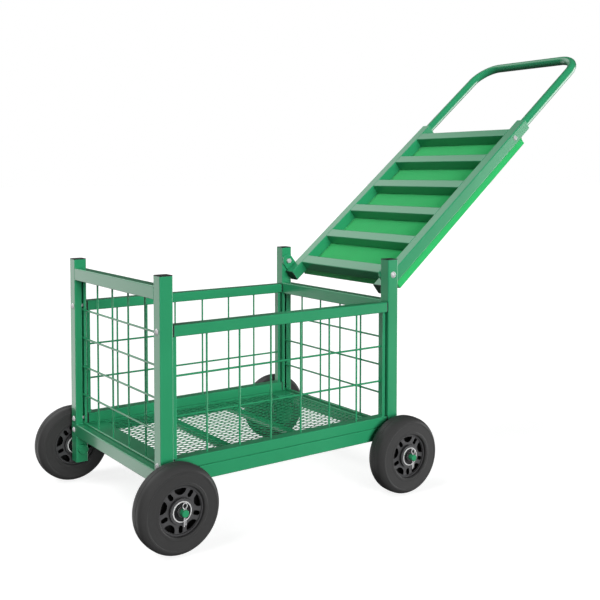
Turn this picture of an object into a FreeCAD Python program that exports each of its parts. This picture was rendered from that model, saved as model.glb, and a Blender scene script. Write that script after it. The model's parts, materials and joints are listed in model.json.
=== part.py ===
"""Four-wheeled garden cart with a wire basket and a hinged seat lid that doubles as the pull handle.

Millimetres, +Z up. +X points to the front, the hinged end, and +Y to the cart's left.
Pieces are drawn from the rear right post's outer corner at floor level, and are moved
at the end so that the origin is the bottom centre of the whole object with its lid open.
"""
import FreeCAD, Part
import math
import os

# ---- basket frame ----
CART_LENGTH = 430.0        # over the posts, along X
CART_WIDTH = 318.0         # over the posts, along Y
POST_TOP = 373.3           # top of the posts' plugs above the floor
TUBE = 20.0                # side of the square tube used for posts, base, legs and lid rails
WALL = 1.2                 # wall of every tube
CORNER = 1.6               # outer corner radius of every square tube
BASE_TOP = 102.6           # top of the base frame above the floor
SIDE_RAIL_HEIGHT = 16.0    # rails of the long sides
SIDE_RAIL_TOP = 304.0
SIDE_RAIL_INSET = 0.8      # how far a side rail's outer face stands back from the posts
RAIL_PLUG_CAP = 2.3        # plastic cap between a side rail's end and the post
STILE_GAP = 2.5            # between a post and the stile beside it
STILE_WIDTH = 5.0          # flat upright bar that ends each side panel
STILE_DEPTH = 10.0
REAR_RAIL_HEIGHT = 19.2    # raised rear rail, on which the closed lid rests
REAR_RAIL_DEPTH = 18.0
FRONT_RAIL_TOP = 306.5
FRONT_RAIL_HEIGHT = 20.0

# ---- wire grids ----
WIRE = 3.0                 # wire diameter
WELD_SINK = 0.9            # how far crossing wires are pressed into each other
SIDE_PITCH = 54.7          # between upright wires of the long sides
SIDE_UPRIGHTS = 6
SIDE_LEVELS = 2
END_UPRIGHTS = 4
END_LEVEL_PITCH = 46.4
END_GRID_INSET = 13.0      # end grid's level wires behind the posts' outer faces
END_LOWEST_WIRE = 2.2      # lowest end wire above the base frame
SLOT_WIDTH = 3.8           # slot in a post that takes the end grid's wires
SLOT_REACH = 5.0           # how far those wires run into the post

# ---- floor ----
FLOOR_TOP = 99.4
FLOOR_SHEET = 1.4
CROSS_BAR_WIDTH = 15.0
CROSS_BAR_HEIGHT = 8.0
CROSS_BAR_OFFSET = 62.0    # each cross bar from the cart's middle
EDGE_STRIP_WIDTH = 27.0
GUSSET_SIDE = 30.0
PLATE = 2.0                # thickness of the strip and the gussets

# ---- wheels and axles ----
WHEEL_RADIUS = 61.5
TYRE_WIDTH = 35.7
SHOULDER = 8.6             # radius of the tyre's shoulder
TYRE_BORE = 34.2           # radius of the tyre's seat on the rim
RIM_WALL = 2.6
RIM_RECESS = 4.5           # rim edge behind the tyre's side
WEB_RECESS = 6.0           # hub web behind the tyre's side
WEB_MEMBRANE = 5.0         # what is left between the pockets of the two sides
POCKETS = 5
POCKET_RADIUS = 9.2
SLOT_HALF = 3.1            # half width of the hub's slots
BOSS_RADIUS = 17.6
BOSS_RECESS = 1.6          # boss face behind the tyre's side
BEARING_RADIUS = 14.3
BEARING_WIDTH = 8.0
BEARING_PROUD = 1.0        # bearing's face in front of the boss
RACE = 1.1                 # thickness of the outer race
INNER_RACE = 2.0
SEAL_RECESS = 0.7          # bearing's seal behind its races
BORE_RELIEF = 1.5          # gap between the hub's own bore and the axle
WHEEL_GAP = 6.8            # between a leg and the tyre
AXLE_RADIUS = 5.0
RUNNING = 0.05             # radial clearance of the bores that turn
AXLE_TIP = 9.5             # axle's end beyond the tyre's side
AXLE_HEAD_FLATS = 15.0     # hexagon head, across its flats
AXLE_HEAD = 7.5
LEG_BELOW_AXLE = 21.5
WASHER = 1.2
WASHER_RADIUS = 7.2
PIN_WIRE = 0.55            # radius of a split pin's wire
PIN_GAP = 1.3              # between the two legs of a split pin
PIN_FROM_TIP = 3.2         # split pin behind the axle's end
PIN_EYE = 3.2              # radius of the split pin's eye
PIN_LEG = 16.0             # split pin's legs below the axle's middle
SHIM = 0.3                 # gap between faces of different bodies

# ---- lid ----
LID_ANGLE = 38.9           # slope of the open lid at rest
PIVOT_Z = 348.0
TAB = 4.0                  # thickness of the hinge tabs
TAB_WIDTH = 22.0
LID_DROP = 11.9            # lid rails' upper face below the pivot, across the lid
LID_REST_GAP = 1.6         # closed lid, level, above the raised rear rail
RAIL_TAIL = 16.6           # rails' length behind the pivot
RAIL_LENGTH = 449.0
BAR_PITCH = 75.0
BARS = 6
LAST_BAR_FROM_END = 36.0   # middle of the last bar from the rails' handle end
PAD = 16.0                 # seat pad's thickness
PAD_EDGE = 2.0
HANDLE_FIT = 0.4           # gap between the handle and the inside of its rail
HANDLE_BEND = 45.0
HANDLE_REACH = 661.0       # middle of the grip from the rails' tail end
HANDLE_PLUG = 62.0         # how far the handle's legs run into the rails
HANDLE_BOLT_FROM_END = 42.0
HANDLE_BOLT_SHORT = 1.0    # handle bolt's tip inside the rail's far face

# ---- fasteners and plugs ----
PIVOT_BOLT = 2.5           # shank radius
BOLT_HEAD = 5.4
HEAD_HEIGHT = 3.0
SCREW = 2.5
SCREW_HEAD = 4.6
NUT_FLATS = 8.0
PLUG_CAP = 1.3             # visible thickness of the plastic plugs
PLUG_FIT = 0.3             # gap between a plug's stem and the tube

X, Y, Z = FreeCAD.Vector(1, 0, 0), FreeCAD.Vector(0, 1, 0), FreeCAD.Vector(0, 0, 1)
ORIGIN = FreeCAD.Vector(0, 0, 0)
POST_INSIDE = CART_WIDTH - TUBE
BASE_BOTTOM = BASE_TOP - TUBE
PIVOT_X = CART_LENGTH - TUBE / 2
PLUG_DEPTH = TUBE / 2 - SCREW - PLUG_FIT - PLUG_CAP
HANDLE_RADIUS = TUBE / 2 - WALL - HANDLE_FIT
nodes = {}


def moved(shape, x=0.0, y=0.0, z=0.0):
    copy = shape.copy()
    copy.translate(FreeCAD.Vector(x, y, z))
    return copy


def turned(shape, axis, angle, about=ORIGIN):
    copy = shape.copy()
    copy.rotate(about, axis, angle)
    return copy


def box(x0, x1, y0, y1, z0, z1):
    return Part.makeBox(x1 - x0, y1 - y0, z1 - z0, FreeCAD.Vector(x0, y0, z0))


def rod(radius, start, direction, length):
    return Part.makeCylinder(radius, length, start, direction)


def bar_along_x(length, width, height, corner):
    """Solid bar from x = 0, centred on the X axis, with its four long edges rounded."""
    bar = box(0, length, -width / 2, width / 2, -height / 2, height / 2)
    if corner <= 0:
        return bar
    long_edges = [e for e in bar.Edges if abs(e.tangentAt(e.FirstParameter).x) > 0.99]
    return bar.makeFillet(corner, long_edges)


def tube_along_x(length, width=TUBE, height=TUBE):
    hollow = bar_along_x(length, width - 2 * WALL, height - 2 * WALL, max(CORNER - WALL, 0.3))
    return bar_along_x(length, width, height, CORNER).cut(hollow)


def tube_x(x0, x1, y0, y1, z0, z1):
    tube = tube_along_x(x1 - x0, y1 - y0, z1 - z0)
    return moved(tube, x0, (y0 + y1) / 2, (z0 + z1) / 2)


def tube_y(x0, x1, y0, y1, z0, z1):
    tube = turned(tube_along_x(y1 - y0, x1 - x0, z1 - z0), Z, 90)
    return moved(tube, (x0 + x1) / 2, y0, (z0 + z1) / 2)


def tube_z(x0, x1, y0, y1, z0, z1):
    tube = turned(tube_along_x(z1 - z0, y1 - y0, x1 - x0), Y, -90)
    return moved(tube, (x0 + x1) / 2, (y0 + y1) / 2, z0)


def plug_along_x(width=TUBE, height=TUBE, thickness=PLUG_CAP):
    """Plastic plug for a tube end: its cap fills x from 0 to its thickness and its stem follows."""
    inside = 2 * WALL + 2 * PLUG_FIT
    cap = bar_along_x(thickness, width, height, CORNER)
    stem = moved(bar_along_x(PLUG_DEPTH, width - inside, height - inside, 0.5), thickness)
    return cap.fuse(stem).removeSplitter()


def pan_head(radius, height):
    """Domed screw head on z = 0 with a cross recess."""
    dome_radius = (radius ** 2 + height ** 2) / (2 * height)
    ball = Part.makeSphere(dome_radius, FreeCAD.Vector(0, 0, height - dome_radius))
    head = ball.common(box(-radius, radius, -radius, radius, 0, height))
    slot = radius * 0.16
    deep = height * 0.45
    for angle in (0, 90):
        blade = box(-radius * 0.55, radius * 0.55, -slot, slot, deep, height + 1)
        head = head.cut(turned(blade, Z, angle))
    return head


def screw(radius, head_radius, height, length):
    """Screw along -Z whose head sits on z = 0."""
    shank = rod(radius, FreeCAD.Vector(0, 0, -length), Z, length)
    return pan_head(head_radius, height).fuse(shank)


def hexagon(flats, height):
    corner = flats / 2 / math.cos(math.radians(30))
    points = [FreeCAD.Vector(corner * math.cos(math.radians(60 * k)),
                             corner * math.sin(math.radians(60 * k)), 0) for k in range(7)]
    prism = Part.Face(Part.makePolygon(points)).extrude(Z * height)
    round_off = Part.makeCone(corner + height - 0.4, flats / 2 - 0.4, height)
    return prism.common(round_off)


def hex_nut(hole):
    return hexagon(NUT_FLATS, NUT_FLATS / 2).cut(rod(hole, ORIGIN, Z, NUT_FLATS / 2))


def wire_grid(uprights, levels, plane, u_axis, low, high, start, end, step):
    """Welded grid: uprights at distances along u_axis, levels at heights from start to end.

    plane is the point of the grid's plane at u = 0 on the floor; step is the side on which
    the level wires lie.
    """
    radius = WIRE / 2
    grid = None
    for u in uprights:
        piece = rod(radius, plane + u_axis * u + Z * low, Z, high - low)
        grid = piece if grid is None else grid.fuse(piece)
    for z in levels:
        grid = grid.fuse(rod(radius, plane + step * (WIRE - WELD_SINK) + u_axis * start + Z * z,
                             u_axis, end - start))
    return grid


# ---- posts, with slots for the end grids and holes for the pivot bolts ----
slot_low = BASE_TOP + 0.5
side_rows = {"right": 0.0, "left": POST_INSIDE}
end_rows = {"rear": 0.0, "front": CART_LENGTH - TUBE}
grid_x = {"rear": END_GRID_INSET, "front": CART_LENGTH - END_GRID_INSET}
rest_height = PIVOT_Z + LID_DROP - LID_REST_GAP
grid_top = {"rear": rest_height - REAR_RAIL_HEIGHT, "front": FRONT_RAIL_TOP - FRONT_RAIL_HEIGHT}
for end, post_x in end_rows.items():
    for side, post_y in side_rows.items():
        post = tube_z(post_x, post_x + TUBE, post_y, post_y + TUBE, BASE_TOP, POST_TOP - PLUG_CAP)
        inner_face = TUBE - WALL if side == "right" else POST_INSIDE - 1
        post = post.cut(box(grid_x[end] - SLOT_WIDTH / 2, grid_x[end] + SLOT_WIDTH / 2,
                            inner_face, inner_face + WALL + 1, slot_low, grid_top[end]))
        if end == "front":
            hole = rod(PIVOT_BOLT + 0.1, FreeCAD.Vector(PIVOT_X, post_y - 1, PIVOT_Z), Y, TUBE + 2)
            post = post.cut(hole)
        nodes[f"post_{end}_{side}"] = post

post_plug = turned(plug_along_x(), Y, 90)
post_plugs = [moved(post_plug, post_x + TUBE / 2, post_y + TUBE / 2, POST_TOP)
              for post_x in end_rows.values() for post_y in side_rows.values()]

# ---- base frame: end tubes over the full width, long tubes between them ----
for end, x in end_rows.items():
    nodes[f"base_tube_{end}"] = tube_y(x, x + TUBE, PLUG_CAP, CART_WIDTH - PLUG_CAP, BASE_BOTTOM, BASE_TOP)
for side, y in side_rows.items():
    nodes[f"base_tube_{side}"] = tube_x(TUBE, CART_LENGTH - TUBE, y, y + TUBE, BASE_BOTTOM, BASE_TOP)
base_plug = turned(plug_along_x(), Z, 90)
base_plugs = [moved(base_plug, x + TUBE / 2, 0, BASE_BOTTOM + TUBE / 2) for x in end_rows.values()]
base_plugs += [moved(turned(base_plug, Z, 180), x + TUBE / 2, CART_WIDTH, BASE_BOTTOM + TUBE / 2)
               for x in end_rows.values()]

# ---- rails of the basket ----
rail_bottom = SIDE_RAIL_TOP - SIDE_RAIL_HEIGHT
sill_top = BASE_TOP + SIDE_RAIL_HEIGHT
rail_depth = TUBE - SIDE_RAIL_INSET
panel_start, panel_end = TUBE + STILE_GAP, CART_LENGTH - TUBE - STILE_GAP
rail_plug = plug_along_x(rail_depth, SIDE_RAIL_HEIGHT, RAIL_PLUG_CAP)
rail_plug = rail_plug.cut(rod(SCREW, X * -1, X, RAIL_PLUG_CAP + PLUG_DEPTH + 2))
rail_plugs = []
stiles = []
for side, y in side_rows.items():
    y0 = y + SIDE_RAIL_INSET if side == "right" else y
    for name, z0 in (("top_rail", rail_bottom), ("sill", BASE_TOP)):
        nodes[f"{name}_{side}"] = tube_x(TUBE + RAIL_PLUG_CAP, CART_LENGTH - TUBE - RAIL_PLUG_CAP,
                                         y0, y0 + rail_depth, z0, z0 + SIDE_RAIL_HEIGHT)
        middle_y = y0 + rail_depth / 2
        middle_z = z0 + SIDE_RAIL_HEIGHT / 2
        rail_plugs.append(moved(rail_plug, TUBE, middle_y, middle_z))
        rail_plugs.append(moved(turned(rail_plug, Z, 180), CART_LENGTH - TUBE, middle_y, middle_z))
    for x0 in (panel_start, panel_end - STILE_WIDTH):
        stiles.append(box(x0, x0 + STILE_WIDTH, y0 + (rail_depth - STILE_DEPTH) / 2,
                          y0 + (rail_depth + STILE_DEPTH) / 2, sill_top, rail_bottom))
nodes["side_stiles"] = Part.makeCompound(stiles)
nodes["frame_plugs"] = Part.makeCompound(post_plugs + base_plugs + rail_plugs)
nodes["top_rail_rear"] = tube_y(0, REAR_RAIL_DEPTH, TUBE, POST_INSIDE, rest_height - REAR_RAIL_HEIGHT, rest_height)
nodes["top_rail_front"] = tube_y(CART_LENGTH - TUBE, CART_LENGTH, TUBE, POST_INSIDE,
                                 FRONT_RAIL_TOP - FRONT_RAIL_HEIGHT, FRONT_RAIL_TOP)

# ---- wire grids ----
side_us = [CART_LENGTH / 2 + SIDE_PITCH * (k - (SIDE_UPRIGHTS - 1) / 2) for k in range(SIDE_UPRIGHTS)]
level_pitch = (rail_bottom - sill_top) / (SIDE_LEVELS + 1)
side_zs = [sill_top + level_pitch * (k + 1) for k in range(SIDE_LEVELS)]
for side, y in side_rows.items():
    inward = Y if side == "right" else Y * -1
    nodes[f"wire_grid_{side}"] = wire_grid(side_us, side_zs, FreeCAD.Vector(0, y + TUBE / 2, 0), X,
                                           sill_top, rail_bottom, panel_start + STILE_WIDTH,
                                           panel_end - STILE_WIDTH, inward)
end_pitch = (POST_INSIDE - TUBE) / (END_UPRIGHTS + 1)
end_us = [TUBE + end_pitch * (k + 1) for k in range(END_UPRIGHTS)]
lowest = BASE_TOP + END_LOWEST_WIRE
for end in end_rows:
    end_zs = []
    while lowest + END_LEVEL_PITCH * len(end_zs) < grid_top[end] - WIRE:
        end_zs.append(lowest + END_LEVEL_PITCH * len(end_zs))
    outward_x = X * -1 if end == "rear" else X
    plane = FreeCAD.Vector(grid_x[end], 0, 0) - outward_x * (WIRE - WELD_SINK)
    nodes[f"wire_grid_{end}"] = wire_grid(end_us, end_zs, plane, Y, BASE_TOP, grid_top[end],
                                          TUBE - SLOT_REACH, POST_INSIDE + SLOT_REACH, outward_x)

# ---- floor: sheet on two cross bars, with corner gussets and a plain strip at the rear ----
floor_bottom = FLOOR_TOP - FLOOR_SHEET
cross_bars = []
for middle in (-CROSS_BAR_OFFSET, CROSS_BAR_OFFSET):
    x0 = CART_LENGTH / 2 + middle - CROSS_BAR_WIDTH / 2
    cross_bars.append(tube_y(x0, x0 + CROSS_BAR_WIDTH, TUBE, POST_INSIDE,
                             floor_bottom - CROSS_BAR_HEIGHT, floor_bottom))
nodes["floor_cross_bars"] = Part.makeCompound(cross_bars)
nodes["floor_mesh"] = box(TUBE, CART_LENGTH - TUBE, TUBE, POST_INSIDE, floor_bottom, FLOOR_TOP)
nodes["floor_gussets"] = Part.makeCompound(
    [box(x, x + GUSSET_SIDE, y, y + GUSSET_SIDE, FLOOR_TOP, FLOOR_TOP + PLATE)
     for x in (TUBE, CART_LENGTH - TUBE - GUSSET_SIDE) for y in (TUBE, POST_INSIDE - GUSSET_SIDE)])
nodes["floor_edge_strip"] = box(TUBE, TUBE + EDGE_STRIP_WIDTH, TUBE + GUSSET_SIDE, POST_INSIDE - GUSSET_SIDE,
                                FLOOR_TOP, FLOOR_TOP + PLATE)

# ---- legs and axle bolts ----
axle_z = WHEEL_RADIUS
wheel_middle = WHEEL_GAP + TYRE_WIDTH / 2
for end, x in end_rows.items():
    for side, y in side_rows.items():
        leg = tube_z(x, x + TUBE, y, y + TUBE, axle_z - LEG_BELOW_AXLE, BASE_BOTTOM)
        hole = rod(AXLE_RADIUS + 0.1, FreeCAD.Vector(x + TUBE / 2, y - 1, axle_z), Y, TUBE + 2)
        nodes[f"leg_{end}_{side}"] = leg.cut(hole)


def outward(shape, end, side):
    """Place a piece drawn along +Y from a leg's outer face at the origin."""
    x = end_rows[end] + TUBE / 2
    if side == "left":
        return moved(shape, x, CART_WIDTH, axle_z)
    return moved(turned(shape, Z, 180), x, 0, axle_z)


side_face = WHEEL_GAP + TYRE_WIDTH
bearing_recess = BOSS_RECESS - BEARING_PROUD
pin_y = side_face + AXLE_TIP - PIN_FROM_TIP
pin_reach = PIN_GAP / 2 + PIN_WIRE
axle = rod(AXLE_RADIUS, FreeCAD.Vector(0, -TUBE, 0), Y, TUBE + side_face + AXLE_TIP)
axle = axle.fuse(moved(turned(hexagon(AXLE_HEAD_FLATS, AXLE_HEAD), X, 90), 0, -TUBE, 0))
tip = max(axle.Edges, key=lambda e: (e.CenterOfMass.y, e.Length))
axle = axle.makeChamfer(0.8, [tip])
axle = axle.cut(rod(pin_reach + PIN_WIRE + 0.1, FreeCAD.Vector(0, pin_y, -10), Z, 20))


def washer(start, length, radius):
    at = FreeCAD.Vector(0, start, 0)
    return rod(radius, at, Y, length).cut(rod(AXLE_RADIUS + RUNNING, at, Y, length))


inner_spacer = washer(0, WHEEL_GAP + bearing_recess - SHIM, WASHER_RADIUS)
outer_washer = washer(side_face - bearing_recess + SHIM, WASHER, WASHER_RADIUS)


def split_pin():
    """Pin of bent wire in the plane y = pin_y: an eye above the axle and two legs through it."""
    neck = AXLE_RADIUS + 1.6
    top = neck + 2 * PIN_EYE + 1.0

    def at(x, z):
        return FreeCAD.Vector(x, pin_y, z)

    def bead(x, z):
        return Part.makeSphere(PIN_WIRE, at(x, z))

    path = [Part.LineSegment(at(-pin_reach, -PIN_LEG), at(-pin_reach, neck)),
            Part.Arc(at(-pin_reach, neck), at(-PIN_EYE, neck + PIN_EYE + 0.5), at(0, top)),
            Part.Arc(at(0, top), at(PIN_EYE, neck + PIN_EYE + 0.5), at(pin_reach, neck)),
            Part.LineSegment(at(pin_reach, neck), at(pin_reach, -PIN_LEG - 1.5))]
    pin = None
    for segment in path:
        edge = segment.toShape()
        start = edge.valueAt(edge.FirstParameter)
        profile = Part.Wire(Part.makeCircle(PIN_WIRE, start, edge.tangentAt(edge.FirstParameter)))
        piece = Part.Wire(edge).makePipeShell([profile], True, False)
        pin = piece if pin is None else pin.fuse(piece)
    for x, z in ((-pin_reach, neck), (0, top), (pin_reach, neck)):
        pin = pin.fuse(bead(x, z))
    return pin


corners = [(end, side) for end in end_rows for side in side_rows]
nodes["axle_bolts"] = Part.makeCompound([outward(axle, *c) for c in corners])
nodes["axle_washers"] = Part.makeCompound([outward(w, *c) for w in (inner_spacer, outer_washer) for c in corners])
pin_shape = split_pin()
nodes["split_pins"] = Part.makeCompound([outward(pin_shape, *c) for c in corners])


# ---- wheels ----
def ring_of_revolution(points):
    """Solid turned about the Y axis from a closed outline of (radius, y) points."""
    outline = Part.makePolygon([FreeCAD.Vector(r, y, 0) for r, y in points + points[:1]])
    return Part.Face(outline).revolve(ORIGIN, Y, 360)


def tyre():
    half = TYRE_WIDTH / 2
    side = WHEEL_RADIUS - SHOULDER
    lip = 1.5

    def at(r, y):
        return FreeCAD.Vector(r, y, 0)

    mid = SHOULDER * (1 - math.sqrt(0.5))
    edges = [Part.LineSegment(at(TYRE_BORE, -half + lip), at(TYRE_BORE, half - lip)),
             Part.LineSegment(at(TYRE_BORE, half - lip), at(TYRE_BORE + lip, half)),
             Part.LineSegment(at(TYRE_BORE + lip, half), at(side, half)),
             Part.Arc(at(side, half), at(WHEEL_RADIUS - mid, half - mid), at(WHEEL_RADIUS, half - SHOULDER)),
             Part.LineSegment(at(WHEEL_RADIUS, half - SHOULDER), at(WHEEL_RADIUS, SHOULDER - half)),
             Part.Arc(at(WHEEL_RADIUS, SHOULDER - half), at(WHEEL_RADIUS - mid, mid - half), at(side, -half)),
             Part.LineSegment(at(side, -half), at(TYRE_BORE + lip, -half)),
             Part.LineSegment(at(TYRE_BORE + lip, -half), at(TYRE_BORE, -half + lip))]
    outline = Part.Wire([edge.toShape() for edge in edges])
    return Part.Face(outline).revolve(ORIGIN, Y, 360)


def hub():
    half = TYRE_WIDTH / 2
    bore = AXLE_RADIUS + BORE_RELIEF
    seat = TYRE_BORE - RIM_WALL
    rim, web, boss = half - RIM_RECESS, half - WEB_RECESS, half - BOSS_RECESS
    bearing = boss + BEARING_PROUD - BEARING_WIDTH
    right = [(bore, 0), (bore, bearing), (BEARING_RADIUS, bearing), (BEARING_RADIUS, boss),
             (BOSS_RADIUS, boss), (BOSS_RADIUS, web), (seat, web), (seat, rim), (TYRE_BORE, rim)]
    left = [(r, -y) for r, y in reversed(right[1:])]
    body = ring_of_revolution(right + left)
    pocket_far = seat - 0.9
    for facing in (1, -1):
        floor = facing * WEB_MEMBRANE / 2
        depth = Y * (facing * (web - WEB_MEMBRANE / 2 + 1))
        for k in range(POCKETS):
            base = FreeCAD.Vector(0, floor, 0)
            round_end = Part.makeCylinder(POCKET_RADIUS, depth.Length, base + Z * pocket_far, depth)
            reach = Part.makeCylinder(pocket_far, depth.Length, base, depth)
            slot = box(-SLOT_HALF, SLOT_HALF, min(floor, floor + depth.y), max(floor, floor + depth.y),
                       BOSS_RADIUS + 2.6, pocket_far - 0.2)
            slot = slot.makeFillet(SLOT_HALF * 0.9, [e for e in slot.Edges
                                                   if abs(e.tangentAt(e.FirstParameter).y) > 0.99])
            body = body.cut(turned(round_end.common(reach), Y, 360 / POCKETS * k))
            body = body.cut(turned(slot, Y, 360 / POCKETS * (k + 0.5)))
    return body


def bearing():
    """Sealed ball bearing from y = 0 inward to -BEARING_WIDTH."""
    bore = AXLE_RADIUS + RUNNING
    inner, outer = AXLE_RADIUS + INNER_RACE, BEARING_RADIUS - RACE
    front = [(bore, 0), (inner, 0), (inner, -SEAL_RECESS), (outer, -SEAL_RECESS), (outer, 0), (BEARING_RADIUS, 0)]
    back = [(r, -BEARING_WIDTH - y) for r, y in reversed(front)]
    return ring_of_revolution(front + back)


tyre_shape = moved(tyre(), 0, wheel_middle, 0)
hub_shape = moved(hub(), 0, wheel_middle, 0)
bearing_at = side_face - bearing_recess
bearings = Part.makeCompound([moved(bearing(), 0, bearing_at, 0),
                              moved(bearing(), 0, 2 * wheel_middle - bearing_at + BEARING_WIDTH, 0)])
for end, side in corners:
    nodes[f"bearings_{end}_{side}"] = outward(bearings, end, side)
    nodes[f"tyre_{end}_{side}"] = outward(tyre_shape, end, side)
    nodes[f"hub_{end}_{side}"] = outward(hub_shape, end, side)

# ---- long screws through the posts into the rails' plugs and through the base, and the pivot bolts ----
rail_screw = screw(SCREW, SCREW_HEAD, HEAD_HEIGHT - 0.4, TUBE + RAIL_PLUG_CAP + PLUG_DEPTH)
screw_inset = SIDE_RAIL_INSET + rail_depth / 2
screw_rows = {"right": screw_inset, "left": CART_WIDTH - screw_inset}
screw_heights = (SIDE_RAIL_TOP - SIDE_RAIL_HEIGHT / 2, BASE_TOP + SIDE_RAIL_HEIGHT / 2, BASE_BOTTOM + TUBE / 2)
frame_screws = []
for end in end_rows:
    face_x, turn = (0, -90) if end == "rear" else (CART_LENGTH, 90)
    for y in screw_rows.values():
        for z in screw_heights:
            frame_screws.append(moved(turned(rail_screw, Y, turn), face_x, y, z))
nodes["frame_screws"] = Part.makeCompound(frame_screws)
for end, x in end_rows.items():
    for side, y in screw_rows.items():
        for z in screw_heights:
            hole = rod(SCREW, FreeCAD.Vector(x - 1, y, z), X, TUBE + 2)
            owner = f"post_{end}_{side}" if z > BASE_TOP else f"base_tube_{end}"
            nodes[owner] = nodes[owner].cut(hole)

grip = TUBE + SHIM + TAB + SHIM
pivot_length = grip + NUT_FLATS / 2 + 1
pivot_bolt = screw(PIVOT_BOLT, BOLT_HEAD, HEAD_HEIGHT, pivot_length)
pivot_nut = moved(hex_nut(PIVOT_BOLT), 0, 0, -grip - NUT_FLATS / 2)
pivots = {}
for name, shape in (("pivot_bolts", pivot_bolt), ("pivot_nuts", pivot_nut)):
    right = moved(turned(shape, X, 90), PIVOT_X, 0, PIVOT_Z)
    left = moved(turned(shape, X, -90), PIVOT_X, CART_WIDTH, PIVOT_Z)
    nodes[name] = Part.makeCompound([right, left])

# ---- lid, drawn level from the rails' tail end with its upper face on z = 0 ----
lid = {}
rail_out = TUBE + SHIM + TAB
rail_rows = {"right": rail_out, "left": CART_WIDTH - rail_out - TUBE}
for side, y in rail_rows.items():
    rail = tube_x(PLUG_CAP, RAIL_LENGTH, y, y + TUBE, -TUBE, 0)
    cross = rod(SCREW, FreeCAD.Vector(RAIL_LENGTH - HANDLE_BOLT_FROM_END, y - 1, -TUBE / 2), Y, TUBE + 2)
    lid[f"lid_rail_{side}"] = rail.cut(cross)
lid["lid_plugs"] = Part.makeCompound(
    [moved(plug_along_x(), 0, y + TUBE / 2, -TUBE / 2) for y in rail_rows.values()])
last_bar = RAIL_LENGTH - LAST_BAR_FROM_END
for k in range(BARS):
    middle = last_bar - BAR_PITCH * k
    lid[f"lid_bar_{k + 1}"] = tube_y(middle - TUBE / 2, middle + TUBE / 2, rail_out + TUBE,
                                     CART_WIDTH - rail_out - TUBE, -TUBE, 0)
for side, y in (("right", rail_out - TAB), ("left", CART_WIDTH - rail_out)):
    plate = box(RAIL_TAIL - TAB_WIDTH / 2, RAIL_TAIL + TAB_WIDTH / 2, y, y + TAB, -TUBE, LID_DROP)
    eye = rod(TAB_WIDTH / 2, FreeCAD.Vector(RAIL_TAIL, y, LID_DROP), Y, TAB)
    tab = plate.fuse(eye).removeSplitter()
    bore = rod(PIVOT_BOLT + RUNNING, FreeCAD.Vector(RAIL_TAIL, y - 1, LID_DROP), Y, TAB + 2)
    lid[f"hinge_tab_{side}"] = tab.cut(bore)
pad_start = last_bar - BAR_PITCH * (BARS - 1) - TUBE / 2
pad = box(pad_start, last_bar + TUBE / 2, rail_out, CART_WIDTH - rail_out, -TUBE - PAD, -TUBE)
lid["seat_pad"] = pad.makeFillet(PAD_EDGE, [e for e in pad.Edges if e.BoundBox.ZMin < -TUBE - 0.1])


def handle():
    """Round tube bent into a U; its legs run into the lid rails."""
    z = -TUBE / 2
    y0, y1 = rail_out + TUBE / 2, CART_WIDTH - rail_out - TUBE / 2
    low, bend, high = RAIL_LENGTH - HANDLE_PLUG, HANDLE_REACH - HANDLE_BEND, HANDLE_REACH
    mid = HANDLE_BEND * math.sqrt(0.5)

    def at(x, y):
        return FreeCAD.Vector(x, y, z)

    path = Part.Wire([edge.toShape() for edge in (
        Part.LineSegment(at(low, y0), at(bend, y0)),
        Part.Arc(at(bend, y0), at(bend + mid, y0 + HANDLE_BEND - mid), at(high, y0 + HANDLE_BEND)),
        Part.LineSegment(at(high, y0 + HANDLE_BEND), at(high, y1 - HANDLE_BEND)),
        Part.Arc(at(high, y1 - HANDLE_BEND), at(bend + mid, y1 - HANDLE_BEND + mid), at(bend, y1)),
        Part.LineSegment(at(bend, y1), at(low, y1)))])

    def swept(radius):
        return path.makePipeShell([Part.Wire(Part.makeCircle(radius, at(low, y0), X))], True, True)

    tube = swept(HANDLE_RADIUS).cut(swept(HANDLE_RADIUS - WALL))
    for y in (y0, y1):
        tube = tube.cut(rod(SCREW, FreeCAD.Vector(RAIL_LENGTH - HANDLE_BOLT_FROM_END, y - TUBE, z), Y, 2 * TUBE))
    return tube


lid["handle_tube"] = handle()
handle_bolt = screw(SCREW, SCREW_HEAD, HEAD_HEIGHT, TUBE - HANDLE_BOLT_SHORT)
bolt_x = RAIL_LENGTH - HANDLE_BOLT_FROM_END
lid["handle_bolts"] = Part.makeCompound(
    [moved(turned(handle_bolt, X, 90), bolt_x, rail_out, -TUBE / 2),
     moved(turned(handle_bolt, X, -90), bolt_x, CART_WIDTH - rail_out, -TUBE / 2)])

for name, shape in lid.items():
    placed = moved(shape, -RAIL_TAIL, 0, -LID_DROP)
    nodes[name] = moved(turned(placed, Y, -LID_ANGLE), PIVOT_X, 0, PIVOT_Z)

# ---- origin: bottom centre of the whole object ----
angle = math.radians(LID_ANGLE)
grip_along, grip_across = HANDLE_REACH - RAIL_TAIL, -LID_DROP - TUBE / 2
front_end = PIVOT_X + grip_along * math.cos(angle) - grip_across * math.sin(angle) + HANDLE_RADIUS
rear_end = TUBE / 2 - WHEEL_RADIUS
shift = FreeCAD.Vector(-(front_end + rear_end) / 2, -CART_WIDTH / 2, 0)

os.makedirs("parts", exist_ok=True)
for name, shape in nodes.items():
    shape.translate(shift)
    shape.exportStep(f"parts/{name}.step")
    print(name, len(shape.Solids), "valid" if shape.isValid() else "INVALID")
print("nodes", len(nodes), "origin shift", round(shift.x, 3), round(shift.y, 3))
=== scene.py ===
# %% [markdown]
# # A garden cart with a seat lid
# A small four-wheeled cart carries plants and tools in a wire basket. Its lid is a padded seat on square
# rails, and a round handle is plugged into the rails' ends, so that the open lid is also the drawbar.
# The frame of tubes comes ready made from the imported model. This notebook gives every tube its finish and
# adds what a plain solid can't show: the expanded floor mesh, the foam pad, moulded tyres and sealed bearings.

import json
import math

import bmesh
import bpy
from mathutils import Matrix, Vector


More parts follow.
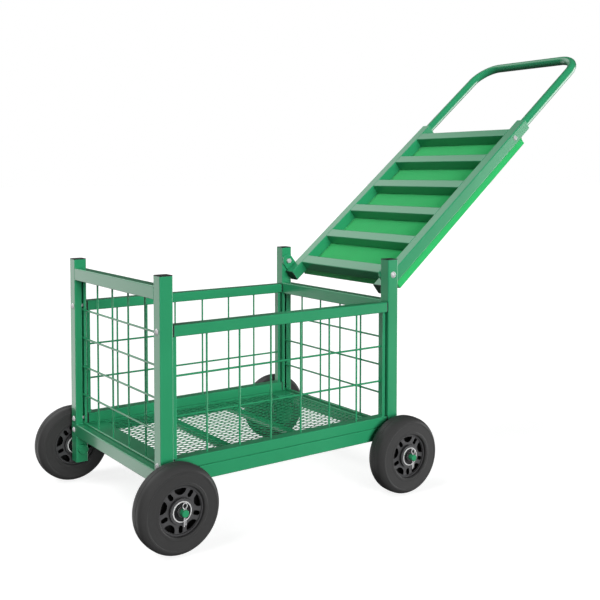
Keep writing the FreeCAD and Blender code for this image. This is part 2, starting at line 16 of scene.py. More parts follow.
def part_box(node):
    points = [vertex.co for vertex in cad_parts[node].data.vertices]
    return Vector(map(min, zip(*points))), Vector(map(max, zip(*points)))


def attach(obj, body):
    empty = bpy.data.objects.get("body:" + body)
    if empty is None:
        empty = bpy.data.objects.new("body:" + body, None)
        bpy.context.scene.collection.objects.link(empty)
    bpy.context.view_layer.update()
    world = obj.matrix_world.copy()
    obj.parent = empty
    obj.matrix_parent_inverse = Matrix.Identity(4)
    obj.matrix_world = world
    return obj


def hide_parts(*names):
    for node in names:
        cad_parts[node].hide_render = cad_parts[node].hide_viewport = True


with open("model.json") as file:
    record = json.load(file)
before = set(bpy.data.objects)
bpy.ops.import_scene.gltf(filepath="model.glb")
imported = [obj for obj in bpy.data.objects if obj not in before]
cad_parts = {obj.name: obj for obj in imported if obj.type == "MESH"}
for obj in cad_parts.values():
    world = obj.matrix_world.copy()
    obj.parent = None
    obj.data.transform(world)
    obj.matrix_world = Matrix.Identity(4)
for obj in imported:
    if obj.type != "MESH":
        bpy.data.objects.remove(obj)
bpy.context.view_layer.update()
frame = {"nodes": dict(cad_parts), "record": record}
record = frame["record"]

# %% [markdown]
# ## The camera
# The cart is seen from a little above its basket through a fairly long lens. The camera is held almost level,
# which keeps the posts upright, and the view is framed with the lens shift instead of a tilt.

# %% Camera
SENSOR_MM = 36.0
LENS_MM = 54.24
CAMERA_PLACE = (-1.00518, -1.2476, 0.5110)
TILT_DOWN = 2.61
HEADING = -35.17
camera_data = bpy.data.cameras.new("product_camera")
camera_data.sensor_width = SENSOR_MM
camera_data.lens = LENS_MM
camera_data.shift_x = 0.0233
camera_data.shift_y = -0.1417
camera = bpy.data.objects.new("product_camera", camera_data)
bpy.context.collection.objects.link(camera)
camera.location = CAMERA_PLACE
camera.rotation_euler = (math.radians(90 - TILT_DOWN), 0.0, math.radians(HEADING))
bpy.context.scene.camera = camera
print("camera at", tuple(round(v, 3) for v in camera.location))

# %% [markdown]
# ## The studio
# The cart stands in a white sweep. What the camera sees behind it is plain white, while the tubes need
# something darker to reflect, or their colour washes out. So the sky has three readings: white behind the
# cart, a dim even fill for matte light, and three bright panels for reflections. The broad one at the back
# pales the end faces and leaves the long sides deep green. The high one does the same for the upper faces of
# the lid's bars, and the narrow one at the right lights the rails' sides and the round handle.

# %% Sky readings
BROAD_PANEL = Vector((-0.33, 0.92, -0.20)).normalized()
BROAD_BRIGHT = 1.35
HIGH_PANEL = Vector((-0.16, 0.81, 0.56)).normalized()
HIGH_BRIGHT = 1.45
NARROW_PANEL = Vector((0.94, -0.33, -0.03)).normalized()
NARROW_BRIGHT = 4.2
BROAD_EDGES, HIGH_EDGES, NARROW_EDGES = (0.90, 0.985), (0.86, 0.97), (0.895, 0.98)
BETWEEN_PANELS = 0.07
EVEN_FILL = 0.12

scene = bpy.context.scene
scene.view_settings.view_transform = "Standard"
world = bpy.data.worlds.new("white_studio")
scene.world = world
world.use_nodes = True
sky_nodes, sky_links = world.node_tree.nodes, world.node_tree.links
sky_nodes.clear()
ray = sky_nodes.new("ShaderNodeLightPath")
direction = sky_nodes.new("ShaderNodeTexCoord")


def bright_panel(towards, edges, bright):
    """Brightness of a soft round panel, as a socket; edges are cosines of its outer and inner angle."""
    facing = sky_nodes.new("ShaderNodeVectorMath")
    facing.operation = "DOT_PRODUCT"
    facing.inputs[1].default_value = towards
    sky_links.new(direction.outputs["Generated"], facing.inputs[0])
    panel = sky_nodes.new("ShaderNodeMapRange")
    panel.interpolation_type = "SMOOTHSTEP"
    panel.inputs["From Min"].default_value = edges[0]
    panel.inputs["From Max"].default_value = edges[1]
    panel.inputs["To Min"].default_value = BETWEEN_PANELS / 3
    panel.inputs["To Max"].default_value = bright
    sky_links.new(facing.outputs["Value"], panel.inputs["Value"])
    return panel.outputs["Result"]


far_panels = sky_nodes.new("ShaderNodeMath")
sky_links.new(bright_panel(BROAD_PANEL, BROAD_EDGES, BROAD_BRIGHT), far_panels.inputs[0])
sky_links.new(bright_panel(HIGH_PANEL, HIGH_EDGES, HIGH_BRIGHT), far_panels.inputs[1])
panels = sky_nodes.new("ShaderNodeMath")
sky_links.new(far_panels.outputs["Value"], panels.inputs[0])
sky_links.new(bright_panel(NARROW_PANEL, NARROW_EDGES, NARROW_BRIGHT), panels.inputs[1])


def white_sky(strength=1.0):
    """A white background shader of one strength."""
    sky = sky_nodes.new("ShaderNodeBackground")
    sky.inputs["Color"].default_value = (1.0, 1.0, 1.0, 1.0)
    sky.inputs["Strength"].default_value = strength
    return sky


even, reflected, seen = white_sky(EVEN_FILL), white_sky(), white_sky()
sky_links.new(panels.outputs["Value"], reflected.inputs["Strength"])
for_gloss = sky_nodes.new("ShaderNodeMixShader")
for_camera = sky_nodes.new("ShaderNodeMixShader")
sky_output = sky_nodes.new("ShaderNodeOutputWorld")
sky_links.new(ray.outputs["Is Glossy Ray"], for_gloss.inputs["Fac"])
sky_links.new(even.outputs["Background"], for_gloss.inputs[1])
sky_links.new(reflected.outputs["Background"], for_gloss.inputs[2])
sky_links.new(ray.outputs["Is Camera Ray"], for_camera.inputs["Fac"])
sky_links.new(for_gloss.outputs["Shader"], for_camera.inputs[1])
sky_links.new(seen.outputs["Background"], for_camera.inputs[2])
sky_links.new(for_camera.outputs["Shader"], sky_output.inputs["Surface"])
print("sky: panels", BROAD_BRIGHT, HIGH_BRIGHT, NARROW_BRIGHT, "fill", EVEN_FILL)


# %% Helpers for node materials
def new_material(name, colour, rough, metal=0.0):
    """A node material with a plain start: returns it with its nodes, its links and its Principled shader."""
    material = bpy.data.materials.new(name)
    material.use_nodes = True
    nodes, links = material.node_tree.nodes, material.node_tree.links
    shader = nodes["Principled BSDF"]
    shader.inputs["Base Color"].default_value = (*colour, 1.0)
    shader.inputs["Roughness"].default_value = rough
    shader.inputs["Metallic"].default_value = metal
    return material, nodes, links, shader


def noise(nodes, links, place, scale, detail):
    """A noise texture read at one place, as a socket."""
    texture = nodes.new("ShaderNodeTexNoise")
    texture.inputs["Scale"].default_value = scale
    texture.inputs["Detail"].default_value = detail
    links.new(place, texture.inputs["Vector"])
    return texture.outputs["Fac"]


def shades_of(nodes, links, amount, colour, darker, lighter):
    """A colour that runs from darker to lighter times itself, as a socket."""
    shade = nodes.new("ShaderNodeMix")
    shade.data_type = "RGBA"
    shade.inputs[6].default_value = (*[c * darker for c in colour], 1.0)
    shade.inputs[7].default_value = (*[min(1.0, c * lighter) for c in colour], 1.0)
    links.new(amount, shade.inputs[0])
    return shade.outputs[2]


def vary_roughness(nodes, links, shader, amount, lowest, highest):
    """Let the roughness run between two values."""
    gloss = nodes.new("ShaderNodeMapRange")
    gloss.inputs["To Min"].default_value = lowest
    gloss.inputs["To Max"].default_value = highest
    links.new(amount, gloss.inputs["Value"])
    links.new(gloss.outputs["Result"], shader.inputs["Roughness"])


def add_relief(nodes, links, shader, height, strength, depth):
    """Fine relief in the surface, in metres of depth."""
    bump = nodes.new("ShaderNodeBump")
    bump.inputs["Strength"].default_value = strength
    bump.inputs["Distance"].default_value = depth
    links.new(height, bump.inputs["Height"])
    links.new(bump.outputs["Normal"], shader.inputs["Normal"])


print("material helpers ready")

# %% White floor that takes a faint shadow
FLOOR_HALF_SIZE = 30.0
PAPER_WHITE = 0.42
PAPER_GLOW = 0.80
PAPER_SEEN_BY_CART = 0.18
bm = bmesh.new()
bmesh.ops.create_grid(bm, x_segments=1, y_segments=1, size=FLOOR_HALF_SIZE)
studio_floor_mesh = bpy.data.meshes.new("studio_floor")
bm.to_mesh(studio_floor_mesh)
bm.free()
studio_floor = bpy.data.objects.new("studio_floor", studio_floor_mesh)
bpy.context.collection.objects.link(studio_floor)
paper, nodes, links, shader = new_material("white_paper", (PAPER_WHITE,) * 3, 0.9)
shader.inputs["Specular IOR Level"].default_value = 0.0
glow = nodes.new("ShaderNodeEmission")
glow.inputs["Color"].default_value = (1.0, 1.0, 1.0, 1.0)
glow.inputs["Strength"].default_value = PAPER_GLOW
both = nodes.new("ShaderNodeAddShader")
links.new(shader.outputs["BSDF"], both.inputs[0])
links.new(glow.outputs["Emission"], both.inputs[1])
paper_ray = nodes.new("ShaderNodeLightPath")
dim = nodes.new("ShaderNodeBsdfDiffuse")
dim.inputs["Color"].default_value = (*(PAPER_SEEN_BY_CART,) * 3, 1.0)
pick = nodes.new("ShaderNodeMixShader")
links.new(paper_ray.outputs["Is Camera Ray"], pick.inputs["Fac"])
links.new(dim.outputs["BSDF"], pick.inputs[1])
links.new(both.outputs["Shader"], pick.inputs[2])
links.new(pick.outputs["Shader"], nodes["Material Output"].inputs["Surface"])
studio_floor_mesh.materials.append(paper)
studio_floor.visible_glossy = False
print("floor", tuple(studio_floor.dimensions))


# %% Soft lamps
def soft_sun(name, towards_lamp, strength, spread):
    """A very distant lamp, seen from the cart in the given direction; it adds matte light only."""
    data = bpy.data.lights.new(name, "SUN")
    data.energy = strength
    data.angle = math.radians(spread)
    lamp = bpy.data.objects.new(name, data)
    lamp.rotation_euler = (-Vector(towards_lamp)).to_track_quat("-Z", "Y").to_euler()
    lamp.visible_glossy = False
    bpy.context.collection.objects.link(lamp)
    return lamp


soft_sun("beside_camera", (-0.14, -0.965, 0.22), 3.9, 30)
soft_sun("upper_left", (-0.62, 0.10, 0.78), 1.7, 40)

# %% [markdown]
# ## Powder coat
# Powder coat is a thick plastic skin baked on to steel. It shows a fine orange-peel ripple, and its colour is
# even from a distance but varies a little where it is thicker. Sharp edges get a painted highlight: a paler
# colour for the light they catch. A Principled shader with a coat layer gives the soft double gloss. The ripple
# is a noise bump, the tone is a large slow noise, and the painted edge highlight comes from the Bevel node
# compared with the true normal. Wires and the other round steel have no sharp edges, so they take a second coat
# without the painted highlight.


# %% Powder coat material
# Width and strength of the painted highlight along sharp edges.
EDGE_WIDTH = 0.0010
EDGE_HIGHLIGHT_STRENGTH = 0.7
PEEL_SCALE = 700.0
PEEL_DEPTH = 0.0001


def paint_edge_highlights(nodes, links, skin, highlight_colour):
    """Paint a highlight on sharp edges: blend a skin colour into a paler one within EDGE_WIDTH of the edge, as a
    socket.
    """
    rounded = nodes.new("ShaderNodeBevel")
    rounded.samples = 4
    rounded.inputs["Radius"].default_value = EDGE_WIDTH
    surface = nodes.new("ShaderNodeNewGeometry")
    agree = nodes.new("ShaderNodeVectorMath")
    agree.operation = "DOT_PRODUCT"
    links.new(rounded.outputs["Normal"], agree.inputs[0])
    links.new(surface.outputs["Normal"], agree.inputs[1])
    edge = nodes.new("ShaderNodeMapRange")
    edge.inputs["From Min"].default_value = 0.995
    edge.inputs["From Max"].default_value = 0.90
    edge.inputs["To Min"].default_value = 0.0
    edge.inputs["To Max"].default_value = EDGE_HIGHLIGHT_STRENGTH
    links.new(agree.outputs["Value"], edge.inputs["Value"])
    # Painted highlight: the colour turns paler near a sharp edge and stands in for the light the edge catches.
    highlighted_skin = nodes.new("ShaderNodeMix")
    highlighted_skin.data_type = "RGBA"
    highlighted_skin.inputs[7].default_value = (*highlight_colour, 1.0)
    links.new(edge.outputs["Result"], highlighted_skin.inputs[0])
    links.new(skin, highlighted_skin.inputs[6])
    return highlighted_skin.outputs[2]


def powder_coat(name, colour, rough, highlight_colour=None):
    """Powder coat on steel, with a painted highlight along sharp edges where a highlight colour is given."""
    material, nodes, links, shader = new_material(name, colour, rough)
    shader.inputs["Coat Weight"].default_value = 0.8
    shader.inputs["Coat Roughness"].default_value = 0.14
    place = nodes.new("ShaderNodeTexCoord").outputs["Object"]
    cloud = noise(nodes, links, place, 9.0, 3.0)
    skin = shades_of(nodes, links, cloud, colour, 0.88, 1.12)
    if highlight_colour:
        skin = paint_edge_highlights(nodes, links, skin, highlight_colour)
    links.new(skin, shader.inputs["Base Color"])
    vary_roughness(nodes, links, shader, cloud, rough - 0.05, rough + 0.07)
    add_relief(nodes, links, shader, noise(nodes, links, place, PEEL_SCALE, 2.0), 0.10, PEEL_DEPTH)
    return material


COAT_GREEN = (0.020, 0.245, 0.105)
# The paler green is the painted highlight along sharp edges.
EDGE_HIGHLIGHT_GREEN = (0.10, 0.55, 0.33)
green_coat = powder_coat("green_powder_coat", COAT_GREEN, 0.34, EDGE_HIGHLIGHT_GREEN)
round_coat = powder_coat("green_coat_on_round_steel", COAT_GREEN, 0.28)
print("made", green_coat.name, round_coat.name)

# %% [markdown]
# ## Rubber, plastic, zinc and foam
# Solid rubber has a fine powdery skin, with faint rings left by the mould. Moulded nylon has a spark-eroded
# grain. Zinc plate is bright but cloudy. Closed-cell foam is cut through its cells, so its skin is covered
# with tiny pits.


# %% Grained material for plastic and foam
def grained(name, colour, rough, grain_scale, grain_depth, mottle=0.12):
    """A matte finish with a fine grain and a slight mottling."""
    material, nodes, links, shader = new_material(name, colour, rough)
    place = nodes.new("ShaderNodeTexCoord").outputs["Object"]
    mottling = noise(nodes, links, place, grain_scale / 30, 4.0)
    skin = shades_of(nodes, links, mottling, colour, 1 - mottle, 1 + mottle)
    links.new(skin, shader.inputs["Base Color"])
    vary_roughness(nodes, links, shader, mottling, rough - 0.08, rough + 0.08)
    cells = nodes.new("ShaderNodeTexVoronoi")
    cells.inputs["Scale"].default_value = grain_scale
    links.new(place, cells.inputs["Vector"])
    add_relief(nodes, links, shader, cells.outputs["Distance"], 0.35, grain_depth)
    return material


black_plastic = grained("black_plug_plastic", (0.012, 0.012, 0.012), 0.5, 1800.0, 0.0002)
hub_nylon = grained("hub_nylon", (0.060, 0.060, 0.062), 0.42, 1400.0, 0.0002)
seal_rubber = grained("bearing_seal", (0.010, 0.010, 0.011), 0.6, 2400.0, 0.0001)
foam = grained("seat_foam", (0.026, 0.43, 0.120), 0.75, 900.0, 0.0004, 0.08)
foam_shader = foam.node_tree.nodes["Principled BSDF"]
foam_shader.inputs["Specular IOR Level"].default_value = 0.25
foam_shader.inputs["Sheen Weight"].default_value = 0.15
print("made", [m.name for m in (black_plastic, hub_nylon, seal_rubber, foam)])


# %% Shade gathered in the hub's pockets
def paint_hollow_shade(material, reach, dark):
    """Paint shade into hollows: the base colour falls to dark deep inside, where little light gets in."""
    nodes, links = material.node_tree.nodes, material.node_tree.links
    shader = nodes["Principled BSDF"]
    skin = shader.inputs["Base Color"].links[0].from_socket
    open_sky = nodes.new("ShaderNodeAmbientOcclusion")
    open_sky.samples = 8
    open_sky.inputs["Distance"].default_value = reach
    openness = nodes.new("ShaderNodeMapRange")
    openness.inputs["From Min"].default_value = 0.40
    openness.inputs["From Max"].default_value = 0.80
    links.new(open_sky.outputs["AO"], openness.inputs["Value"])
    # Painted shade: the colour is mixed towards dark where the occlusion is strong.
    blend = nodes.new("ShaderNodeMix")
    blend.data_type = "RGBA"
    blend.inputs[6].default_value = (dark, dark, dark, 1.0)
    links.new(openness.outputs["Result"], blend.inputs[0])
    links.new(skin, blend.inputs[7])
    links.new(blend.outputs[2], shader.inputs["Base Color"])


# Painted shade in the hub's pockets: how far the occlusion looks and how dark the colour falls.
POCKET_REACH = 0.014
POCKET_SHADE_DARK = 0.002
paint_hollow_shade(hub_nylon, POCKET_REACH, POCKET_SHADE_DARK)
print("darkened", hub_nylon.name)


# %% Zinc plate
def cloudy_zinc(name, colour, rough):
    """Bright plate or ground steel with a cloudy gloss."""
    material, nodes, links, shader = new_material(name, colour, rough, 0.45)
    place = nodes.new("ShaderNodeTexCoord").outputs["Object"]
    cloud = noise(nodes, links, place, 350.0, 3.0)
    links.new(shades_of(nodes, links, cloud, colour, 0.82, 1.08), shader.inputs["Base Color"])
    vary_roughness(nodes, links, shader, cloud, rough - 0.08, rough + 0.14)
    add_relief(nodes, links, shader, cloud, 0.15, 0.0001)
    return material


zinc = cloudy_zinc("bright_zinc", (0.80, 0.80, 0.81), 0.30)
race_steel = cloudy_zinc("race_steel", (0.92, 0.92, 0.92), 0.22)
print("made", zinc.name, race_steel.name)


# %% Tyre rubber, with the mould's rings
RING_STRETCH = (14.0, 420.0, 1.0)


def moulded_rubber(name, colour, rough):
    """Rubber whose fine rings follow the tyre's own UV: u runs round the wheel and v across it."""
    material, nodes, links, shader = new_material(name, colour, rough)
    shader.inputs["Specular IOR Level"].default_value = 0.30
    around = nodes.new("ShaderNodeUVMap")
    around.uv_map = "round_and_across"
    stretch = nodes.new("ShaderNodeMapping")
    stretch.inputs["Scale"].default_value = RING_STRETCH
    links.new(around.outputs["UV"], stretch.inputs["Vector"])
    rings = noise(nodes, links, stretch.outputs["Vector"], 1.0, 4.0)
    links.new(shades_of(nodes, links, rings, colour, 0.88, 1.14), shader.inputs["Base Color"])
    vary_roughness(nodes, links, shader, rings, rough - 0.12, rough + 0.12)
    add_relief(nodes, links, shader, rings, 0.25, 0.0002)
    return material


rubber = moulded_rubber("tyre_rubber", (0.035, 0.035, 0.035), 0.46)
print("made", rubber.name)

# %% [markdown]
# ## Dress the frame
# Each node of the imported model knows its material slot, so one loop hands every tube, plug and screw its
# finish. Only the finish changes: the nodes keep their own meshes.

# %% Hand out the finishes
finish_of_slot = {
    "green_frame": green_coat,
    "seat_foam": foam,
    "black_plug": black_plastic,
    "tyre": rubber,
    "hub_plastic": hub_nylon,
    "bearing_steel": race_steel,
    "zinc": zinc,
}
for part in record["subparts"]:
    node = frame["nodes"][part["node"]]
    for material_slot in node.material_slots:
        material_slot.material = finish_of_slot[part["material_slot"]]
round_nodes = ["axle_bolts"] + [name for name in frame["nodes"] if name.startswith("wire_grid")]
for name in round_nodes:
    for material_slot in frame["nodes"][name].material_slots:
        material_slot.material = round_coat
print("dressed", len(record["subparts"]), "nodes")


# %% [markdown]
# ## A helper for finished pieces
# Every piece is drawn in place, so its object stays at the origin. The helper turns a bmesh into an object,
# makes its normals point outwards, keeps its hard edges sharp and shades the rest smooth.


# %% Finish a piece
def finish_piece(bm, name, finishes, sharp):
    """Turn a bmesh into an object at the origin, smooth but for edges sharper than sharp degrees."""
    bmesh.ops.recalc_face_normals(bm, faces=bm.faces)
    mesh = bpy.data.meshes.new(name)
    bm.to_mesh(mesh)
    bm.free()
    mesh.polygons.foreach_set("use_smooth", [True] * len(mesh.polygons))
    mesh.set_sharp_from_angle(angle=math.radians(sharp))
    for material in finishes:
        mesh.materials.append(material)
    piece = bpy.data.objects.new(name, mesh)
    bpy.context.collection.objects.link(piece)
    return piece


def middle_of(node):
    """Middle of a node's box, and half its size along each axis."""
    low, high = (Vector(corner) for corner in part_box(node))
    return (low + high) / 2, (high - low) / 2


print("piece helpers ready")

# %% [markdown]
# ## Tyres
# A solid tyre is a body of revolution. One bmesh spin of its section makes the whole ring: a flat side with a
# shallow step above the rim, a wide round shoulder and an almost flat tread with the mould's parting line.

# %% Section of the tyre
TREAD_ARC = 0.0141
TREAD_SWEEP = 60
TREAD_STEPS = 12
RIM_LIP = 0.0015
SIDE_STEP = 0.0003
STEP_STARTS, STEP_IS_FULL = 0.0045, 0.0052
CREASE_IN, CREASE_OUT = 0.0095, 0.0090
PARTING_LINE = 0.00035
PARTING_FOOT, PARTING_TOP = 0.0009, 0.0004
SPIN_STEPS = 144


def tyre_section(radius, half, bore):
    """Half of the closed section as (radius, across) points, from the bore to the middle of the tread."""
    crown = radius - PARTING_LINE
    tread_edge = half - TREAD_ARC * math.sin(math.radians(TREAD_SWEEP))
    points = [(bore, 0.0), (bore, half - RIM_LIP), (bore + RIM_LIP * 0.4, half - RIM_LIP * 0.4)]
    points += [(bore + RIM_LIP, half), (bore + STEP_STARTS, half), (bore + STEP_IS_FULL, half - SIDE_STEP)]
    points += [(crown - CREASE_IN, half - SIDE_STEP), (crown - CREASE_OUT, half)]
    for k in range(TREAD_STEPS + 1):
        turn = math.radians(TREAD_SWEEP * (1 - k / TREAD_STEPS))
        points.append((crown - TREAD_ARC * (1 - math.cos(turn)), tread_edge + TREAD_ARC * math.sin(turn)))
    points += [(crown, PARTING_FOOT), (radius, PARTING_TOP), (radius, 0.0)]
    return points


print("tyre section:", TREAD_STEPS, "steps in its shoulder")


# %% Spin a closed section about a wheel's axle
def spin_about_axle(bm, section, centre):
    """Turn a closed section of (radius, across) points once about the line through centre along Y."""
    corners = [bm.verts.new((r, y, 0.0)) for r, y in section]
    edges = [bm.edges.new((a, b)) for a, b in zip(corners, corners[1:] + corners[:1])]
    bmesh.ops.spin(bm, geom=corners + edges, cent=(0, 0, 0), axis=(0, 1, 0), angle=2 * math.pi,
                   steps=SPIN_STEPS, use_merge=True, use_duplicate=False)
    bmesh.ops.remove_doubles(bm, verts=bm.verts, dist=1e-6)
    uv = bm.loops.layers.uv.new("round_and_across")
    for face in bm.faces:
        middle = face.calc_center_median()
        face_turn = math.atan2(middle.z, middle.x)
        for loop in face.loops:
            spot = loop.vert.co
            turn = math.atan2(spot.z, spot.x)
            turn += 2 * math.pi * round((face_turn - turn) / (2 * math.pi))
            radius = math.hypot(spot.x, spot.z)
            loop[uv].uv = (turn / (2 * math.pi), spot.y + radius)
    bmesh.ops.translate(bm, verts=bm.verts, vec=centre)


print("spin in", SPIN_STEPS, "steps")

# %% Four tyres
corners = [(end, side) for end in ("rear", "front") for side in ("right", "left")]
for end, side in corners:
    centre, half_size = middle_of(f"tyre_{end}_{side}")
    bore = middle_of(f"hub_{end}_{side}")[1].x
    upper = tyre_section(half_size.x, half_size.y, bore)
    lower = [(r, -y) for r, y in reversed(upper[1:-1])]
    bm = bmesh.new()
    spin_about_axle(bm, upper + lower, centre)
    piece = finish_piece(bm, f"solid_tyre_{end}_{side}", [rubber], 20)
    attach(piece, f"wheel_{end}_{side}")
    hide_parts(f"tyre_{end}_{side}")
    print(piece.name, "faces", len(piece.data.polygons))

# %% [markdown]
# ## Sealed bearings
# A sealed ball bearing shows two ground steel races with a dark rubber seal sunk between them. Each one is
# spun from its section, and the seal's faces take the rubber finish.

# %% Section of one bearing
BEARING_WIDTH = 0.008
AXLE_BORE = 0.00505
OUTER_RACE = 0.0016
INNER_RACE = 0.0019
SEAL_SUNK = 0.0007
RACE_CHAMFER = 0.00025
SEAL_RIM, SEAL_RISE = 0.0009, 0.0012
SEAL_HIGH = 0.6


def bearing_section(radius, front, back):
    """Closed section between two faces across the wheel, front being the visible one."""
    out = 1 if front > back else -1
    sunk, edge = out * SEAL_SUNK, out * RACE_CHAMFER
    inner, outer = AXLE_BORE + INNER_RACE, radius - OUTER_RACE
    points = [(AXLE_BORE, back), (AXLE_BORE, front - edge), (AXLE_BORE + RACE_CHAMFER, front), (inner, front)]
    points += [(inner, front - sunk), (inner + SEAL_RIM, front - sunk)]
    points += [(inner + SEAL_RISE, front - sunk * SEAL_HIGH), (outer - SEAL_RISE, front - sunk * SEAL_HIGH)]
    points += [(outer - SEAL_RIM, front - sunk), (outer, front - sunk)]
    points += [(outer, front), (radius - RACE_CHAMFER, front), (radius, front - edge), (radius, back)]
    return points


print("bearing", round(BEARING_WIDTH * 1000), "mm wide")

# %% Eight bearings
for end, side in corners:
    centre, half_size = middle_of(f"bearings_{end}_{side}")
    radius, half = half_size.x, half_size.y
    bm = bmesh.new()
    for facing_side in (1, -1):
        front = facing_side * half
        spun = bmesh.new()
        spin_about_axle(spun, bearing_section(radius, front, front - facing_side * BEARING_WIDTH), centre)
        part = bpy.data.meshes.new("bearing_half")
        spun.to_mesh(part)
        spun.free()
        bm.from_mesh(part)
        bpy.data.meshes.remove(part)
    for face in bm.faces:
        spot = face.calc_center_median() - centre
        from_axle = math.hypot(spot.x, spot.z)
        if AXLE_BORE + INNER_RACE + 1e-5 < from_axle < radius - OUTER_RACE - 1e-5:
            face.material_index = 1 if abs(spot.y) > half - 2 * SEAL_SUNK else 0
    piece = finish_piece(bm, f"sealed_bearings_{end}_{side}", [race_steel, seal_rubber], 30)
    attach(piece, f"wheel_{end}_{side}")
    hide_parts(f"bearings_{end}_{side}")
    print(piece.name, "faces", len(piece.data.polygons))

# %% [markdown]
# ## Expanded floor mesh
# Expanded metal starts as a sheet with rows of short slits and is pulled sideways until they open into
# diamonds. A grid of squares turned by 45 degrees and stretched has the same pattern. It is trimmed to the
# floor's own rectangle, and bmesh's wireframe operator turns its edges into strands.

# %% Floor mesh
DIAMOND_LONG = 0.0229
DIAMOND_SHORT = 0.0105
STRAND = 0.0016
CLEAR_OF_BOX = 0.98
low, high = (Vector(corner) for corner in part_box("floor_mesh"))
floor_middle = (low + high) / 2
half_x, half_y = (high.x - low.x) / 2, (high.y - low.y) / 2
cells_needed = math.ceil(2 * (half_x / DIAMOND_LONG + half_y / DIAMOND_SHORT)) + 2
bm = bmesh.new()
bmesh.ops.create_grid(bm, x_segments=cells_needed, y_segments=cells_needed,
                      size=cells_needed / 2 / math.sqrt(2))
bmesh.ops.rotate(bm, verts=bm.verts, cent=(0, 0, 0), matrix=Matrix.Rotation(math.radians(45), 3, "Z"))
bmesh.ops.scale(bm, verts=bm.verts, vec=(DIAMOND_LONG, DIAMOND_SHORT, 1.0))
trim = STRAND / 2
for axis, reach in (((1, 0, 0), half_x - trim), ((-1, 0, 0), half_x - trim),
                    ((0, 1, 0), half_y - trim), ((0, -1, 0), half_y - trim)):
    normal = Vector(axis)
    bmesh.ops.bisect_plane(bm, geom=bm.verts[:] + bm.edges[:] + bm.faces[:], dist=1e-6,
                           plane_co=normal * reach, plane_no=normal, clear_outer=True)
bmesh.ops.wireframe(bm, faces=bm.faces[:], thickness=STRAND, offset=0.0, use_replace=True,
                    use_boundary=True, use_even_offset=False)
flatten = min(1.0, CLEAR_OF_BOX * (high.z - low.z) / STRAND)
bmesh.ops.scale(bm, verts=bm.verts, vec=(1.0, 1.0, flatten))
bmesh.ops.translate(bm, verts=bm.verts, vec=floor_middle)
floor_piece = finish_piece(bm, "expanded_floor_mesh", [round_coat], 30)
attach(floor_piece, "cart")
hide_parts("floor_mesh")
print("floor mesh faces", len(floor_piece.data.polygons))

# %% [markdown]
# ## Foam seat pad
# The pad is a board of closed-cell foam glued under the lid's bars. It is cut with crisp edges, stays flat
# where it is glued and swells a little on the face that is sat on. It is drawn in the lid's own directions:
# along the rails, across the cart and out of the seat face.

# %% Directions and size of the pad
seat = next(mount for mount in record["mounts"] if mount["name"] == "seat_face")
seat_out = Vector(seat["axis"]).normalized()
across = Vector((0.0, 1.0, 0.0))
along = across.cross(seat_out).normalized()
low, high = (Vector(corner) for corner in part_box("seat_pad"))
size_x, size_z = high.x - low.x, high.z - low.z
c, s = abs(along.x), abs(along.z)
pad_length = (size_x * c - size_z * s) / (c * c - s * s)
pad_thick = (size_z * c - size_x * s) / (c * c - s * s)
pad_wide = high.y - low.y
pad_middle = (low + high) / 2
print("pad", round(pad_length, 4), round(pad_wide, 4), round(pad_thick, 4))

# %% Foam pad
CROWN = 0.0016
PAD_ROUND = 0.0022
SIDE_PULL = 0.0010
CROWN_POWER, PULL_POWER = 4, 12
CUTS_LONG, CUTS_WIDE, CUTS_THICK = 44, 30, 3
bm = bmesh.new()
bmesh.ops.create_cube(bm, size=1.0)
bmesh.ops.scale(bm, verts=bm.verts, vec=(pad_length, pad_wide, pad_thick))
seat_edges = [e for e in bm.edges if min(v.co.z for v in e.verts) > 0 or
              abs(e.verts[0].co.z - e.verts[1].co.z) > 0.001]
bmesh.ops.bevel(bm, geom=seat_edges, offset=PAD_ROUND, offset_type="OFFSET", affect="EDGES", segments=4,
                profile=0.5, material=-1)
for axis, size, cuts in ((0, pad_length, CUTS_LONG), (1, pad_wide, CUTS_WIDE), (2, pad_thick, CUTS_THICK)):
    for k in range(1, cuts):
        normal = Vector([1.0 if axis == n else 0.0 for n in range(3)])
        place = normal * (size * (k / cuts - 0.5))
        bmesh.ops.bisect_plane(bm, geom=bm.verts[:] + bm.edges[:] + bm.faces[:], dist=1e-6,
                               plane_co=place, plane_no=normal)
for vert in bm.verts:
    u, v, w = (2 * vert.co.x / pad_length, 2 * vert.co.y / pad_wide, vert.co.z / pad_thick + 0.5)
    swell = (1 - u ** CROWN_POWER) * (1 - v ** CROWN_POWER)
    pull = SIDE_PULL * math.sin(math.pi * min(1.0, max(0.0, w)))
    vert.co.z -= CROWN * (1 - swell) * w
    vert.co.x -= math.copysign(pull * abs(u) ** PULL_POWER, u)
    vert.co.y -= math.copysign(pull * abs(v) ** PULL_POWER, v)
turn = Matrix((along, across, seat_out)).transposed()
bmesh.ops.rotate(bm, verts=bm.verts, cent=(0, 0, 0), matrix=turn)
bmesh.ops.translate(bm, verts=bm.verts, vec=pad_middle)
pad = finish_piece(bm, "foam_seat_pad", [foam], 50)
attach(pad, "lid")
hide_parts("seat_pad")
print("pad faces", len(pad.data.polygons))

# %% [markdown]
# ## Bent handle
# The handle is one round tube bent twice round the same former, so both corners have one radius. A Bezier
# curve follows a quarter circle closely when the handles of its points have the right length. Its line runs
# up one leg, across the grip and down the other leg, and its bevel is the tube's own radius.

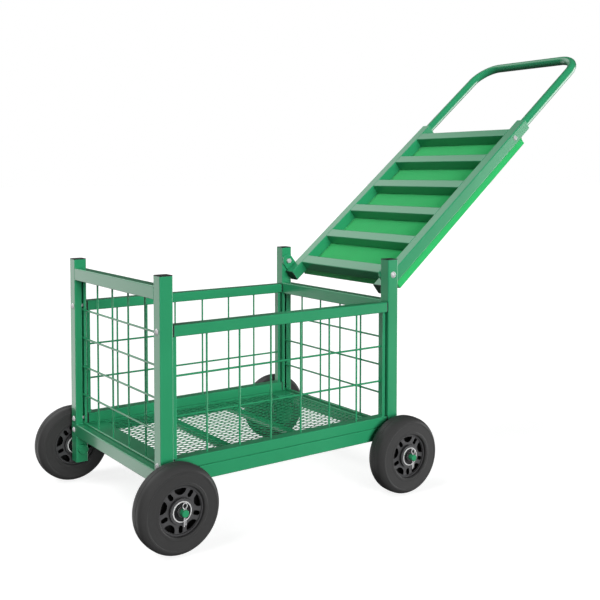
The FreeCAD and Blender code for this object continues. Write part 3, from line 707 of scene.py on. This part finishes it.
# %% Line of the handle
HANDLE_TUBE_RADIUS = 0.0084
BEND_RADIUS = 0.045
QUARTER_CIRCLE = 0.5523 * BEND_RADIUS
STEPS_ALONG = 24
STEPS_ROUND = 9
up_the_rails = -along
low, high = (Vector(corner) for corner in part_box("handle_tube"))
grip_x, grip_z = high.x - HANDLE_TUBE_RADIUS, high.z - HANDLE_TUBE_RADIUS
leg_start_x = low.x + HANDLE_TUBE_RADIUS * abs(up_the_rails.z)
leg_length = (grip_x - leg_start_x) / up_the_rails.x
right_y, left_y = low.y + HANDLE_TUBE_RADIUS, high.y - HANDLE_TUBE_RADIUS


def on_handle(up, y):
    """A point of the handle's plane, up along the rails from the legs' lower ends."""
    return Vector((grip_x, y, grip_z)) + up_the_rails * (up - leg_length)


def leg_stops(y, inward):
    """A leg's three Bezier points in order from its end: the end, the bend's start and the bend's end."""
    bend_start = leg_length - BEND_RADIUS
    third = bend_start / 3
    turned = y + inward * BEND_RADIUS
    return [
        (on_handle(0, y), on_handle(-third, y), on_handle(third, y)),
        (on_handle(bend_start, y), on_handle(bend_start - third, y), on_handle(bend_start + QUARTER_CIRCLE, y)),
        (on_handle(leg_length, turned), on_handle(leg_length, turned - inward * QUARTER_CIRCLE),
         on_handle(leg_length, turned + inward * third)),
    ]


stops = leg_stops(right_y, 1)
stops += [(spot, after, before) for spot, before, after in reversed(leg_stops(left_y, -1))]
handle_line = bpy.data.curves.new("bent_handle_line", "CURVE")
handle_line.dimensions = "3D"
handle_line.resolution_u = STEPS_ALONG
handle_line.bevel_depth = HANDLE_TUBE_RADIUS
handle_line.bevel_resolution = STEPS_ROUND
handle_line.use_fill_caps = True
spline = handle_line.splines.new("BEZIER")
spline.bezier_points.add(len(stops) - 1)
for point, (spot, before, after) in zip(spline.bezier_points, stops):
    point.handle_left_type = point.handle_right_type = "FREE"
    point.co, point.handle_left, point.handle_right = spot, before, after
print("handle leg", round(leg_length, 4))

# %% Handle tube from its line
drawn_handle = bpy.data.objects.new("bent_handle_line", handle_line)
bpy.context.collection.objects.link(drawn_handle)
tube_mesh = bpy.data.meshes.new_from_object(drawn_handle)
bpy.data.objects.remove(drawn_handle)
bm = bmesh.new()
bm.from_mesh(tube_mesh)
bpy.data.meshes.remove(tube_mesh)
bmesh.ops.remove_doubles(bm, verts=bm.verts, dist=1e-6)
handle = finish_piece(bm, "bent_handle_tube", [round_coat], 40)
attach(handle, "lid")
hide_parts("handle_tube")
print("handle faces", len(handle.data.polygons))
